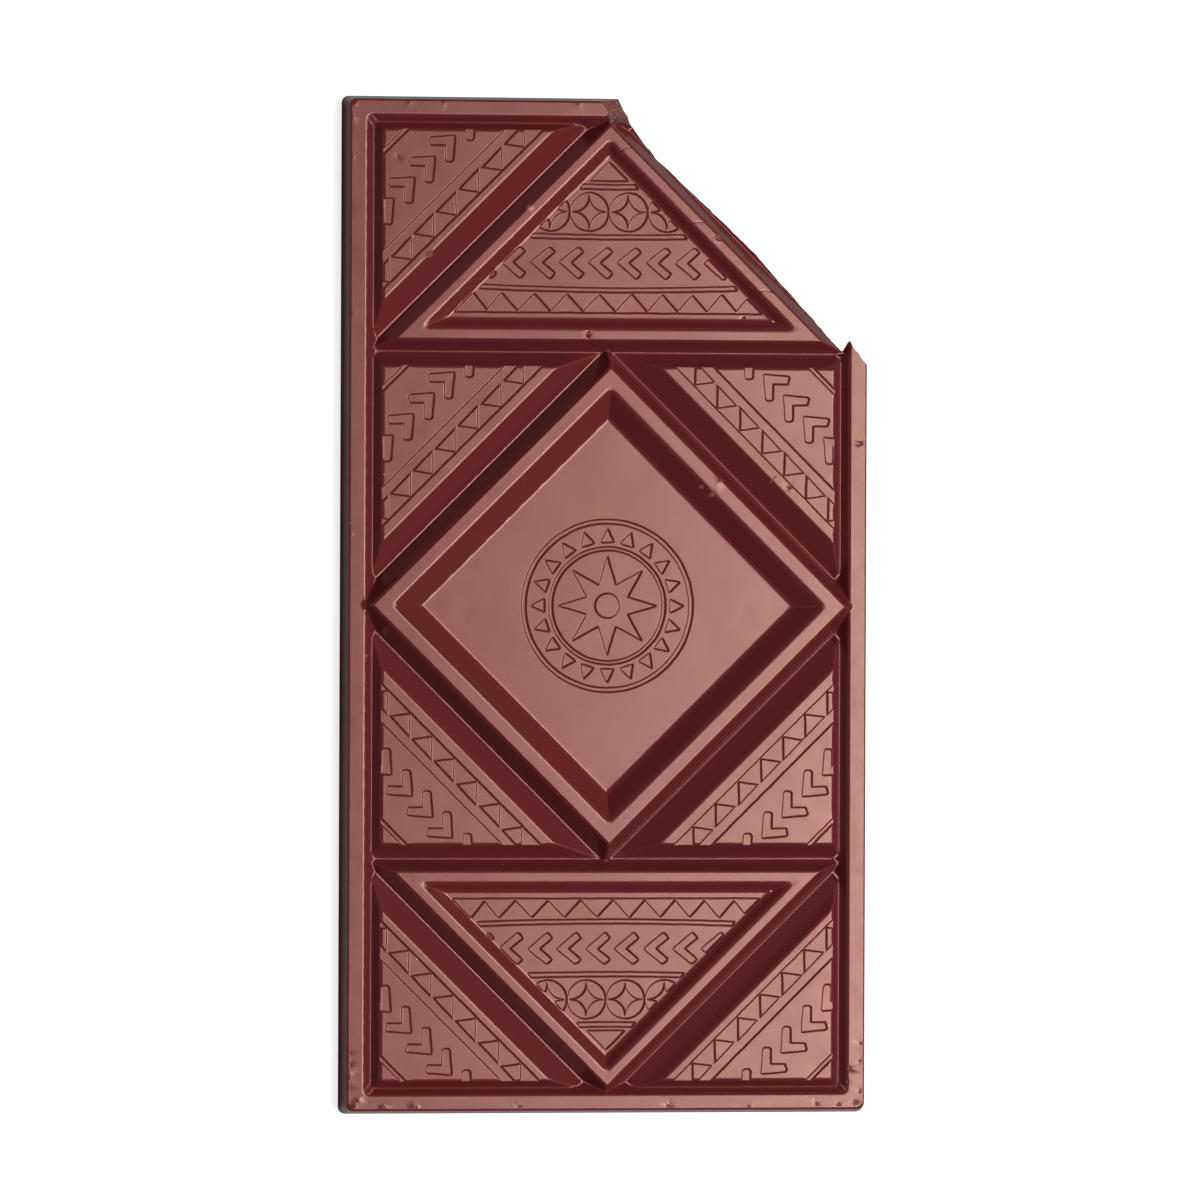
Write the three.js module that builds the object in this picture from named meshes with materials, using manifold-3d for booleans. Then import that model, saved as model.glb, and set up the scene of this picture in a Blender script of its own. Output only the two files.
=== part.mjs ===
// A moulded chocolate tablet that lies face up, with one corner tile snapped off.
// It is one casting: a drafted slab with a raised rim, and inside the rim seven corner
// tiles, two framed triangles and a framed diamond, all parted by V grooves.
// Millimetres. X runs across the bar, Y along it, Z up from the flat poured back.
import * as THREE from 'three';
import { ConvexGeometry } from 'three/addons/geometries/ConvexGeometry.js';
import { mergeVertices } from 'three/addons/utils/BufferGeometryUtils.js';
import Module from 'manifold-3d';

// ---- the slab and its rim ----
const LENGTH = 140;
const WIDTH = 73.1;
const RIM_TOP = 5.5;
const WALL_DRAFT = 0.66;          // how far the outer wall leans in by the rim's top
const WALL_CORNER = 1.0;          // corner radius of the outline
const RIM_ROUND = 0.35;           // the rim's eased outer edge
const WELL_HALF_X = 33.45;        // inner edge of the rim, at its top
const WELL_HALF_Y = 67.15;
const WELL_CORNER = 0.7;
const RIM_SLOPE = 57;             // degrees from level, as are all the slopes below
const FLOOR = 2.9;                // the deepest the grooves can go
const FOOT = 2.5;                 // where the raised blocks are rooted in the slab

// ---- the corner tiles ----
const TILE_TOP = 5.8;
const TILE_HALF_X = 31.3;         // the tiles' edges beside the rim
const OUTER_TILE_Y = 65.2;        // square corner of the first and last row
const INNER_TILE_Y = 32.75;       // square corner of the two middle rows
const OUTER_TILE_REACH = 72.9;    // |x| + |y| along the long edge of an outer tile
const INNER_TILE_REACH = 39.85;
const TILE_RIM_SLOPE = 58;
const TILE_MID_SLOPE = 53;
const TILE_LONG_SLOPE = 42;

// ---- the framed triangles, their points to the ends of the bar ----
const TRIANGLE_TOP = 5.9;
const TRIANGLE_REACH = 66.15;     // |x| + |y| along the two short sides
const TRIANGLE_BASE_Y = 36.45;
const TRIANGLE_SLOPE = 61.5;
const TRIANGLE_FRAME = 1.7;       // width of the frame
const TRIANGLE_FIELD = 4.7;       // height of the sunk field
const TRIANGLE_BEVEL = 49;

// ---- the framed diamond ----
const DIAMOND_TOP = 7.1;
const DIAMOND_REACH = 32.85;
const DIAMOND_SLOPE = 65;
const DIAMOND_FRAME = 2.25;
const DIAMOND_FIELD = 4.5;
const DIAMOND_BEVEL = 45;

// ---- the sunk pattern ----
const SUNK = 0.3;                 // depth of every pattern recess
const HAND = 0.07;                // how far a drawn point strays from true
const FIELD_MARGIN = 0.45;        // plain border round a framed triangle's pattern
const RUN_OUT = 0.6;              // how far a tile's pattern runs past its edge

// ---- the break ----
// Along the break, from the end rim to the side rim: place along it, then how far the
// broken face stands outside the groove's line at its crest, its middle and its foot.
const BREAK_CREST = 5.4;
const BREAK_MIDDLE = 3.5;
const BREAK_STATIONS = [
  [-54.0, 0.1, 1.4, 3.0],
  [-49.8, -0.1, 1.0, 2.7],
  [-48.1, -0.6, 0.7, 2.4],
  [-46.9, -1.6, -0.2, 2.0],
  [-46.2, -1.0, 0.0, 1.8],
  [-45.4, -0.4, 0.4, 1.6],
  [-44.2, 0.4, 0.65, 1.1],
  [-42.0, 0.25, 0.25, 0.6],
  [-38.5, -0.05, -0.05, 0.3],
  [-33.0, 0.15, 0.15, 0.4],
  [-26.0, 0.42, 0.42, 0.7],
  [-19.5, 0.53, 0.53, 0.8],
  [-15.5, 0.28, 0.28, 0.6],
  [-9.0, 0.02, 0.02, 0.3],
  [-5.0, -0.25, -0.25, 0.1],
  [-2.8, -0.3, -0.35, 0.0],
  [-2.4, 1.2, -0.4, 0.0],
  [-1.0, 0.85, -0.3, 0.0],
  [1.4, 0.75, -0.1, 0.1],
  [5.0, 0.7, 0.0, 0.2],
];
const BREAK_ROUGHNESS = 0.11;
const GROOVE_REACH = 68.37;       // |x| + |y| along the bottom of the broken groove

const SQRT2 = Math.SQRT2;
const rad = THREE.MathUtils.degToRad;
const at = (x, y) => new THREE.Vector2(x, y);

const wasm = await Module();
wasm.setup();

// A repeatable stray from -1 to 1, different for each whole number.
function stray(n) {
  const turned = Math.sin(n * 12.9898 + 4.1) * 43758.5453;
  return 2 * (turned - Math.floor(turned)) - 1;
}

function asSolid(geometry) {
  const bare = geometry.clone();
  bare.deleteAttribute('normal');
  bare.deleteAttribute('uv');
  const welded = mergeVertices(bare, 1e-5);
  return new wasm.Manifold(new wasm.Mesh({
    numProp: 3,
    vertProperties: new Float32Array(welded.attributes.position.array),
    triVerts: new Uint32Array(welded.index.array),
  }));
}

function asGeometry(solid) {
  const mesh = solid.getMesh();
  const geometry = new THREE.BufferGeometry();
  geometry.setAttribute('position', new THREE.BufferAttribute(mesh.vertProperties, 3));
  geometry.setIndex(new THREE.BufferAttribute(mesh.triVerts, 1));
  geometry.computeVertexNormals();
  return geometry;
}

function union(solids) {
  return solids.reduce((sum, solid) => sum.add(solid));
}

// An upright prism over an outline, from one height to another.
function prism(outline, low, high, holes = []) {
  const shape = new THREE.Shape(outline);
  for (const hole of holes) {
    shape.holes.push(new THREE.Path(hole));
  }
  const geometry = new THREE.ExtrudeGeometry(shape, { depth: high - low, bevelEnabled: false });
  geometry.translate(0, 0, low);
  return asSolid(geometry);
}

// Moves each side of a convex outline outwards by its own amount and meets them again.
function offsetOutline(outline, amounts) {
  const middle = outline.reduce((sum, p) => sum.add(p), at(0, 0)).divideScalar(outline.length);
  const sides = outline.map((p, i) => {
    const next = outline[(i + 1) % outline.length];
    const normal = at(next.y - p.y, p.x - next.x).normalize();
    if (normal.dot(p.clone().sub(middle)) < 0) {
      normal.negate();
    }
    return { normal, reach: normal.dot(p) + amounts[i] };
  });
  return sides.map((side, i) => {
    const before = sides[(i + sides.length - 1) % sides.length];
    const cross = before.normal.x * side.normal.y - before.normal.y * side.normal.x;
    return at(
      (before.reach * side.normal.y - side.reach * before.normal.y) / cross,
      (side.reach * before.normal.x - before.reach * side.normal.x) / cross,
    );
  });
}

function hull(rings) {
  const points = rings.flatMap(({ outline, z }) => outline.map((p) => new THREE.Vector3(p.x, p.y, z)));
  return asSolid(new ConvexGeometry(points));
}

// A block with a flat top of the given outline, each side sloping out down to its foot.
function block(outline, top, slopes) {
  const runs = slopes.map((slope) => (top - FOOT) / Math.tan(rad(slope)));
  return hull([{ outline, z: top }, { outline: offsetOutline(outline, runs), z: FOOT }]);
}

// What is taken out to sink a field below a frame: it widens upwards, past the frame's top.
function sinking(outline, top, bottom, slope) {
  const over = 0.5;
  const run = (height) => outline.map(() => (height - top) / Math.tan(rad(slope)));
  return hull([
    { outline: offsetOutline(outline, run(bottom)), z: bottom },
    { outline: offsetOutline(outline, run(top + over)), z: top + over },
  ]);
}

function roundedRectangle(halfX, halfY, radius, steps = 5) {
  const outline = [];
  for (let quarter = 0; quarter < 4; quarter++) {
    const signX = quarter === 0 || quarter === 3 ? 1 : -1;
    const signY = quarter < 2 ? 1 : -1;
    for (let i = 0; i <= steps; i++) {
      const angle = (Math.PI / 2) * (quarter + i / steps);
      outline.push(at(
        signX * (halfX - radius) + radius * Math.cos(angle),
        signY * (halfY - radius) + radius * Math.sin(angle),
      ));
    }
  }
  return outline;
}

// ---- the slab: drafted outer wall, eased top edge, and the well inside the rim ----
function slabWithRim() {
  const shoulder = RIM_TOP - RIM_ROUND;
  const lean = (WALL_DRAFT * shoulder) / RIM_TOP;
  const ring = (inset, z) => ({
    outline: roundedRectangle(WIDTH / 2 - inset, LENGTH / 2 - inset, WALL_CORNER),
    z,
  });
  const slab = hull([
    ring(0, 0),
    ring(lean, shoulder),
    ring(lean + 0.3 * RIM_ROUND, RIM_TOP - 0.3 * RIM_ROUND),
    ring(lean + RIM_ROUND, RIM_TOP),
  ]);
  const wellRing = (z) => {
    const widen = (z - RIM_TOP) / Math.tan(rad(RIM_SLOPE));
    return { outline: roundedRectangle(WELL_HALF_X + widen, WELL_HALF_Y + widen, WELL_CORNER), z };
  };
  return slab.subtract(hull([wellRing(FLOOR), wellRing(RIM_TOP + 1)]));
}

// ---- corner tiles: right-angled, each with its square corner towards an end of the bar ----
// A tile's own place (u, v) is measured in from its square corner along the two legs.
function tilePlaces() {
  const places = [];
  for (const end of [1, -1]) {
    for (const side of [-1, 1]) {
      places.push({ side, end, cornerY: INNER_TILE_Y, reach: INNER_TILE_REACH, slope: TILE_MID_SLOPE });
      if (side < 0 || end < 0) {
        places.push({ side, end, cornerY: OUTER_TILE_Y, reach: OUTER_TILE_REACH, slope: TILE_RIM_SLOPE });
      }
    }
  }
  return places;
}

function onTile(place, u, v) {
  return at(place.side * (TILE_HALF_X - u), place.end * (place.cornerY - v));
}

function tileOutline(place) {
  const leg = TILE_HALF_X + place.cornerY - place.reach;
  return [onTile(place, 0, 0), onTile(place, leg, 0), onTile(place, 0, leg)];
}

function cornerTile(place) {
  return block(tileOutline(place), TILE_TOP, [place.slope, TILE_LONG_SLOPE, TILE_RIM_SLOPE]);
}

// Sunk into a tile: a bar across its square corner, a slanting row of angle marks, and a
// channel along the long edge with a row of small triangles left standing in it.
const CORNER_BAR = [2.75, 3.55];          // u + v of its two sides
const ANGLE_MARKS = 5;
const ANGLE_FIRST = [12.74, -2.1];        // outer corner of the first angle mark
const ANGLE_STEP = [-2.82, 2.89];
const ANGLE_ARM = 3.65;
const ANGLE_THICK = 1.4;
const ANGLE_TIP = 1.12;
const CHANNEL = [16.7, 22.0];
const TOOTH_COUNT = 8;
const TOOTH_FIRST = [19.3, -0.8];         // top corner of the first small triangle
const TOOTH_STEP = 3.1;
const TOOTH = [[0, 0], [-2.64, 2.78], [0.08, 3.15]];

function band(place, from, to) {
  const past = 2;
  return [
    onTile(place, from + past, -past),
    onTile(place, to + past, -past),
    onTile(place, -past, to + past),
    onTile(place, -past, from + past),
  ];
}

function angleMark(place, index) {
  const u = ANGLE_FIRST[0] + index * ANGLE_STEP[0] + HAND * stray(index);
  const v = ANGLE_FIRST[1] + index * ANGLE_STEP[1] + HAND * stray(index + 20);
  const slim = ANGLE_THICK - ANGLE_TIP;
  const ease = 0.25;
  return [
    [0, 0],
    [ease - ANGLE_ARM, slim],
    [-ANGLE_ARM, slim + ease],
    [ease - ANGLE_ARM, ANGLE_THICK],
    [-ANGLE_THICK, ANGLE_THICK],
    [-ANGLE_THICK, ANGLE_ARM - ease],
    [ease - ANGLE_THICK, ANGLE_ARM],
    [-slim - ease, ANGLE_ARM],
    [-slim, ANGLE_ARM - ease],
  ].map(([du, dv]) => onTile(place, u + du, v + dv));
}

function tilePattern(place) {
  const low = TILE_TOP - SUNK;
  const high = TILE_TOP + 1;
  const marks = [];
  for (let i = 0; i < ANGLE_MARKS; i++) {
    marks.push(prism(angleMark(place, i), low, high));
  }
  let channel = prism(band(place, ...CHANNEL), low, high);
  for (let i = 0; i < TOOTH_COUNT; i++) {
    const u = TOOTH_FIRST[0] - i * TOOTH_STEP + HAND * stray(i + 40);
    const v = TOOTH_FIRST[1] + i * TOOTH_STEP + HAND * stray(i + 60);
    const tooth = TOOTH.map(([du, dv]) => onTile(place, u + du, v + dv));
    channel = channel.subtract(prism(tooth, low - 1, high + 1));
  }
  const limit = offsetOutline(tileOutline(place), [RUN_OUT, RUN_OUT, RUN_OUT]);
  return union([prism(band(place, ...CORNER_BAR), low, high), ...marks, channel])
    .intersect(prism(limit, low - 1, high + 1));
}

// ---- framed triangles ----
function triangleOutline(end, reach, baseY) {
  return [at(0, end * reach), at(reach - baseY, end * baseY), at(baseY - reach, end * baseY)];
}

function framedTriangle(end) {
  const outer = triangleOutline(end, TRIANGLE_REACH, TRIANGLE_BASE_Y);
  const slopes = outer.map(() => TRIANGLE_SLOPE);
  const inner = offsetOutline(outer, outer.map(() => -TRIANGLE_FRAME));
  const field = sinking(inner, TRIANGLE_TOP, TRIANGLE_FIELD, TRIANGLE_BEVEL);
  return block(outer, TRIANGLE_TOP, slopes).subtract(field);
}

// Sunk into a triangle, from its point down to its base: a small triangle, a bar, four
// rings of petals, a bar, a row of arrow marks, a bar, and a row of triangles on a line.
const POINT_MARK = [[0, 61.1], [-2.64, 58.4], [2.68, 58.4]];
// Each bar: its under side and over side at the ends, half its length, and its sag.
const BARS = [[57.3, 57.95, 4.1, 0.05], [50.5, 51.12, 10.9, 0.14], [43.46, 44.06, 17.95, 0.36]];
const PETAL_RINGS = 4;
const PETAL_PITCH = 5.4;
const PETAL_Y = 54.13;
const PETAL_RADIUS = 2.66;
const STAR_TIP = 2.25;
const ARROWS = 9;
const ARROW_FIRST = -19.03;
const ARROW_PITCH = 4.03;
const ARROW_Y = 47.2;
const ARROW = [[0, 0], [2.5, 2.0], [2.85, 2.0], [3.5, 1.45], [1.75, -0.05], [3.5, -1.5], [2.9, -2.2], [2.6, -2.2]];
const ZIGZAG_BASE = 40.25;
const ZIGZAG_FOOT = 40.7;
const ZIGZAG_TIP = 43.1;
const ZIGZAG_TIPS = [-18.8, -14.9, -10.3, -5.8, -1.3, 3.2, 7.5, 11.6, 15.7, 19.8];
const ZIGZAG_HALF = 2.15;         // half the pitch, beyond the first tip and the last
const ZIGZAG_SAG = 0.25;

// One long side of a bar, which hangs a little low in its middle.
function sagging(from, to, y, sag) {
  const steps = 8;
  return Array.from({ length: steps + 1 }, (_, i) => {
    const share = i / steps;
    return [from + share * (to - from), y - sag * 4 * share * (1 - share)];
  });
}

// A four-pointed star with hollow sides, which stands up inside a petal ring.
function starOutline(x, y) {
  const outline = [];
  const steps = 7;
  for (let quarter = 0; quarter < 4; quarter++) {
    const toward = (Math.PI / 2) * quarter + Math.PI / 4;
    const hubX = x + SQRT2 * STAR_TIP * Math.cos(toward);
    const hubY = y + SQRT2 * STAR_TIP * Math.sin(toward);
    for (let i = 0; i < steps; i++) {
      const angle = toward + Math.PI + (Math.PI / 4) * (1 - (2 * i) / steps);
      outline.push(at(hubX + STAR_TIP * Math.cos(angle), hubY + STAR_TIP * Math.sin(angle)));
    }
  }
  return outline;
}

function circle(x, y, radius, steps) {
  return Array.from({ length: steps }, (_, i) => {
    const angle = (2 * Math.PI * i) / steps;
    return at(x + radius * Math.cos(angle), y + radius * Math.sin(angle));
  });
}

function trianglePattern(end) {
  const low = TRIANGLE_FIELD - SUNK;
  const high = TRIANGLE_FIELD + 1;
  const flip = (points) => points.map(([x, y]) => at(x, end * y));
  const parts = [prism(flip(POINT_MARK), low, high)];
  for (const [under, over, half, sag] of BARS) {
    const bar = [...sagging(-half, half, under, sag), ...sagging(half - 0.5, 0.5 - half, over, sag)];
    parts.push(prism(flip(bar), low, high));
  }
  for (let i = 0; i < PETAL_RINGS; i++) {
    const x = (i - (PETAL_RINGS - 1) / 2) * PETAL_PITCH;
    const ring = prism(circle(x, end * PETAL_Y, PETAL_RADIUS, 32), low, high);
    parts.push(ring.subtract(prism(starOutline(x, end * PETAL_Y), low - 1, high + 1)));
  }
  for (let i = 0; i < ARROWS; i++) {
    const x = ARROW_FIRST + i * ARROW_PITCH + HAND * stray(i + 80);
    parts.push(prism(flip(ARROW.map(([dx, dy]) => [x + dx, ARROW_Y + dy])), low, high));
  }
  const first = ZIGZAG_TIPS[0] - ZIGZAG_HALF;
  const last = ZIGZAG_TIPS[ZIGZAG_TIPS.length - 1] + ZIGZAG_HALF;
  const zigzag = [[last + 2, ZIGZAG_BASE], [first - 2, ZIGZAG_BASE], [first, ZIGZAG_FOOT]];
  ZIGZAG_TIPS.forEach((x, i) => {
    const foot = (x + (ZIGZAG_TIPS[i + 1] ?? last + ZIGZAG_HALF)) / 2;
    zigzag.push([x, ZIGZAG_TIP + HAND * stray(i + 120)], [foot, ZIGZAG_FOOT]);
  });
  const sunkRow = zigzag.map(([x, y]) => [x, y > ZIGZAG_BASE ? y - ZIGZAG_SAG * (1 - (x / last) ** 2) : y]);
  parts.push(prism(flip(sunkRow), low, high));
  const outer = triangleOutline(end, TRIANGLE_REACH, TRIANGLE_BASE_Y);
  const bevel = (TRIANGLE_TOP - TRIANGLE_FIELD) / Math.tan(rad(TRIANGLE_BEVEL));
  const limit = offsetOutline(outer, outer.map(() => -TRIANGLE_FRAME - bevel - FIELD_MARGIN));
  return union(parts).intersect(prism(limit, low - 1, high + 1));
}

// ---- framed diamond, with a plain star medallion sunk into its field ----
const MEDALLION_RINGS = [[11.3, 11.9], [7.6, 8.1]];
const RAYS = 20;
const RAY_FROM = 8.75;
const RAY_TO = 10.65;
const STAR_POINTS = 8;
const STAR_OUTER = 6.9;
const STAR_INNER = 3.1;
const STAR_BOSS = 1.7;

function diamondOutline(reach) {
  return [at(reach, 0), at(0, reach), at(-reach, 0), at(0, -reach)];
}

function framedDiamond() {
  const outer = diamondOutline(DIAMOND_REACH);
  const inner = offsetOutline(outer, outer.map(() => -DIAMOND_FRAME));
  const field = sinking(inner, DIAMOND_TOP, DIAMOND_FIELD, DIAMOND_BEVEL);
  return block(outer, DIAMOND_TOP, outer.map(() => DIAMOND_SLOPE)).subtract(field);
}

function polar(radius, turn) {
  return at(radius * Math.sin(2 * Math.PI * turn), radius * Math.cos(2 * Math.PI * turn));
}

function medallion() {
  const low = DIAMOND_FIELD - SUNK;
  const high = DIAMOND_FIELD + 1;
  const parts = MEDALLION_RINGS.map(([from, to]) => (
    prism(circle(0, 0, to, 60), low, high, [circle(0, 0, from, 60)])
  ));
  for (let i = 0; i < RAYS; i++) {
    const half = 0.36 / RAYS;
    const ray = [polar(RAY_FROM, (i / RAYS) - half), polar(RAY_FROM, (i / RAYS) + half), polar(RAY_TO, i / RAYS)];
    parts.push(prism(ray, low, high));
  }
  const star = [];
  for (let i = 0; i < 2 * STAR_POINTS; i++) {
    star.push(polar(i % 2 ? STAR_INNER : STAR_OUTER, i / (2 * STAR_POINTS)));
  }
  parts.push(prism(star, low, high, [circle(0, 0, STAR_BOSS, 24)]));
  return union(parts);
}

// ---- the broken corner: everything outside a rough face that follows the groove ----
function breakOffset(along, z) {
  let i = 1;
  while (i < BREAK_STATIONS.length - 1 && BREAK_STATIONS[i][0] < along) {
    i++;
  }
  const [from, ...before] = BREAK_STATIONS[i - 1];
  const [to, ...after] = BREAK_STATIONS[i];
  const share = THREE.MathUtils.clamp((along - from) / (to - from), 0, 1);
  const [crest, middle, foot] = before.map((value, k) => THREE.MathUtils.lerp(value, after[k], share));
  if (z > BREAK_MIDDLE) {
    const rise = Math.min((z - BREAK_MIDDLE) / (BREAK_CREST - BREAK_MIDDLE), 1);
    return THREE.MathUtils.lerp(middle, crest, rise);
  }
  return THREE.MathUtils.lerp(foot, middle, Math.max(z, 0) / BREAK_MIDDLE);
}

function brokenCorner() {
  const columns = 84;
  const heights = [-1, 0, 0.7, 1.4, 2.1, 2.8, BREAK_MIDDLE, 4.1, 4.7, BREAK_CREST, 8];
  const rows = heights.length - 1;
  const far = 40;
  const first = BREAK_STATIONS[0][0];
  const last = BREAK_STATIONS[BREAK_STATIONS.length - 1][0];
  const geometry = new THREE.BoxGeometry(1, 1, 1, columns, 1, rows);
  const places = geometry.attributes.position;
  for (let i = 0; i < places.count; i++) {
    const column = Math.round((places.getX(i) + 0.5) * columns);
    const row = Math.round((places.getZ(i) + 0.5) * rows);
    const along = THREE.MathUtils.lerp(first, last, column / columns);
    const z = heights[row];
    const inBar = row > 0 && row < rows;
    const rough = inBar ? BREAK_ROUGHNESS * stray(column * 31 + row * 7) : 0;
    const out = places.getY(i) < 0 ? breakOffset(along, z) + rough : far;
    const x = (along + out + GROOVE_REACH / SQRT2) / SQRT2;
    const y = (out - along + GROOVE_REACH / SQRT2) / SQRT2;
    places.setXYZ(i, x, y, z);
  }
  return asSolid(geometry);
}

// ---- the casting ----
function chocolateBar() {
  const places = tilePlaces();
  const raised = [...places.map(cornerTile), framedTriangle(1), framedTriangle(-1), framedDiamond()];
  const sunk = union([...places.map(tilePattern), trianglePattern(1), trianglePattern(-1), medallion()]);
  return union([slabWithRim(), ...raised]).subtract(sunk).subtract(brokenCorner());
}

const chocolate = new THREE.MeshStandardMaterial({
  name: 'chocolate',
  color: 0x6a3a32,
  roughness: 0.38,
  metalness: 0,
});

const bar = new THREE.Mesh(asGeometry(chocolateBar()), chocolate);
bar.name = 'bar';

const tablet = new THREE.Group();
tablet.add(bar);

export default tablet;
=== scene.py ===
import math

import bpy
import numpy as np
from mathutils import Matrix, Vector, noise
from mathutils.bvhtree import BVHTree
from mathutils.geometry import delaunay_2d_cdt
from mathutils.kdtree import KDTree


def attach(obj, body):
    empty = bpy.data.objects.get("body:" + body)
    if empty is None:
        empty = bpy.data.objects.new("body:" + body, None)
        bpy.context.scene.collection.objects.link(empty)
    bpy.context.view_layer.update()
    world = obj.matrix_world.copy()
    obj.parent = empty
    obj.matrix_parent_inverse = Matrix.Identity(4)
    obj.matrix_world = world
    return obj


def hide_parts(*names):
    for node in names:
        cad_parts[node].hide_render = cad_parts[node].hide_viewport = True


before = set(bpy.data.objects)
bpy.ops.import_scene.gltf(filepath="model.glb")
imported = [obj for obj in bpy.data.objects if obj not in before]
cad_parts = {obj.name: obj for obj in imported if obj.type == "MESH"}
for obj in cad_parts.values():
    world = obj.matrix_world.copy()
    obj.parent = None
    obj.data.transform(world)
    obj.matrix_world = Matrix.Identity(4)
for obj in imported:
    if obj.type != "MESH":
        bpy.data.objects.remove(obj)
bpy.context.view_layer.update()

# ---- the moulded face ----
# The side of the tablet that lay in the mould: rim, grooves, corner tiles, framed triangles
# and diamond. The casting eases every crease a little, so a small round feeler runs over the
# sharp solid, and the skin's mesh follows its creases. All lengths are in millimetres.
MM = 0.001
FACE_HALF_X = 35.58           # the flat top of the rim ends here, where its outer edge rounds off
FACE_HALF_Y = 69.03
RIM_TOP = 5.5
WELL_HALF_X = 33.0            # inside the rim
WELL_HALF_Y = 66.5
CORNER_KEPT = 64.0            # |x| + |y| up to which the broken corner still has its relief
FOLD_EASE = 0.34              # half the width over which a crease is eased
GROOVE_EASE = 0.27            # the same along the bottom of a groove
FRAME_EASE = 0.52             # and inside the frames, whose inner bevels run softly into the fields
DRAWN_EASE = 0.18             # and along the edges of the drawn figures
FLAT_EASE = 0.1               # and away from every crease
DRAWN_DEPTH = 0.17            # how deep the figures show, once their edges are soft
SUNK = 0.3                    # how deep they are in the sharp solid
BLOCK_TOPS = (5.8, 4.7, 4.5)  # heights of tiles, triangles' fields and diamond's field, which carry them
FLOOR_RISE = 0.20             # a groove has a narrow floor this far above its sharp bottom
FLOOR_BOW = 0.85              # how strongly that floor curves up to its sides, per millimetre
FLOOR_END = 4.2               # grooves whose bottom is above this height have no floor
FLOOR_FADE = 0.5              # and over this much below it the floor sinks away
FRAME_ABOVE = 5.85            # only the frames stand above this height
DIAMOND_ABOVE = 6.5           # and only the diamond's frame above this one
TRIANGLE_MIDDLE = 50.0        # how far a place inside each triangle is from the bar's centre
LEAST_FOLD = 7                # degrees by which two faces have to differ to make a crease
LEVEL = 0.95                  # how far up the normal of a level face points at least
UPRIGHT = 0.05                # and that of a drawn figure's steep edge at most
FACING_UP = 0.2               # a crease has at least one face that points up this far
STRAIGHT_PITCH = 1.3          # spacing of the skin's points along a main crease
DRAWN_PITCH = 0.6             # the same along the drawn figures
BROKEN_PITCH = 0.35           # and beside the break
FEELER_POINTS = 40
RAY_START = 20.0              # height from which the solid is felt

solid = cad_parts["bar"].data
solid_points = np.empty(len(solid.vertices) * 3)
solid.vertices.foreach_get("co", solid_points)
solid_points = (solid_points.reshape(-1, 3) / MM).round(3)
solid_points, welded = np.unique(solid_points, axis=0, return_inverse=True)
solid_faces = np.array([face.vertices[:] for face in solid.polygons])
solid_faces = welded.ravel()[solid_faces]
relief = BVHTree.FromPolygons(solid_points.tolist(), solid_faces.tolist())

turn = math.pi * (3 - math.sqrt(5))   # the angle from point to point that fills a disc evenly
steps = np.arange(FEELER_POINTS)
reach = np.sqrt((steps + 0.5) / FEELER_POINTS)
feeler = np.column_stack([reach * np.cos(steps * turn), reach * np.sin(steps * turn)])
feeler -= feeler.mean(axis=0)
to_slopes = np.linalg.pinv(feeler)
DOWN = Vector((0, 0, -1))


def relief_hit(x, y):
    """Height of the sharp solid without its drawn figures, and whether one of them is here."""
    if x + y > CORNER_KEPT:   # before it broke, this corner was the mirror image of the one below
        y = -y
    x = min(max(x, -FACE_HALF_X + 0.1), FACE_HALF_X - 0.1)
    y = min(max(y, -FACE_HALF_Y + 0.1), FACE_HALF_Y - 0.1)
    hit, up = relief.ray_cast(Vector((x, y, RAY_START)), DOWN)[:2]
    while hit is None:        # a ray can slip through exactly where two faces meet
        x, y = x - 0.0013, y - 0.0007
        hit, up = relief.ray_cast(Vector((x, y, RAY_START)), DOWN)[:2]
    if abs(x) < WELL_HALF_X and abs(y) < WELL_HALF_Y and up.z > 0.999:
        for top in BLOCK_TOPS:
            if abs(hit.z - top + SUNK) < 0.002:
                return top, True
    return hit.z, False


def relief_height(x, y):
    return relief_hit(x, y)[0]


def eased(x, y, ease):
    """Mean height under a round feeler, and the two slopes of the surface there."""
    heights = np.array([relief_height(x + ease * dx, y + ease * dy) for dx, dy in feeler.tolist()])
    return heights.mean(), to_slopes @ heights / ease


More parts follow.
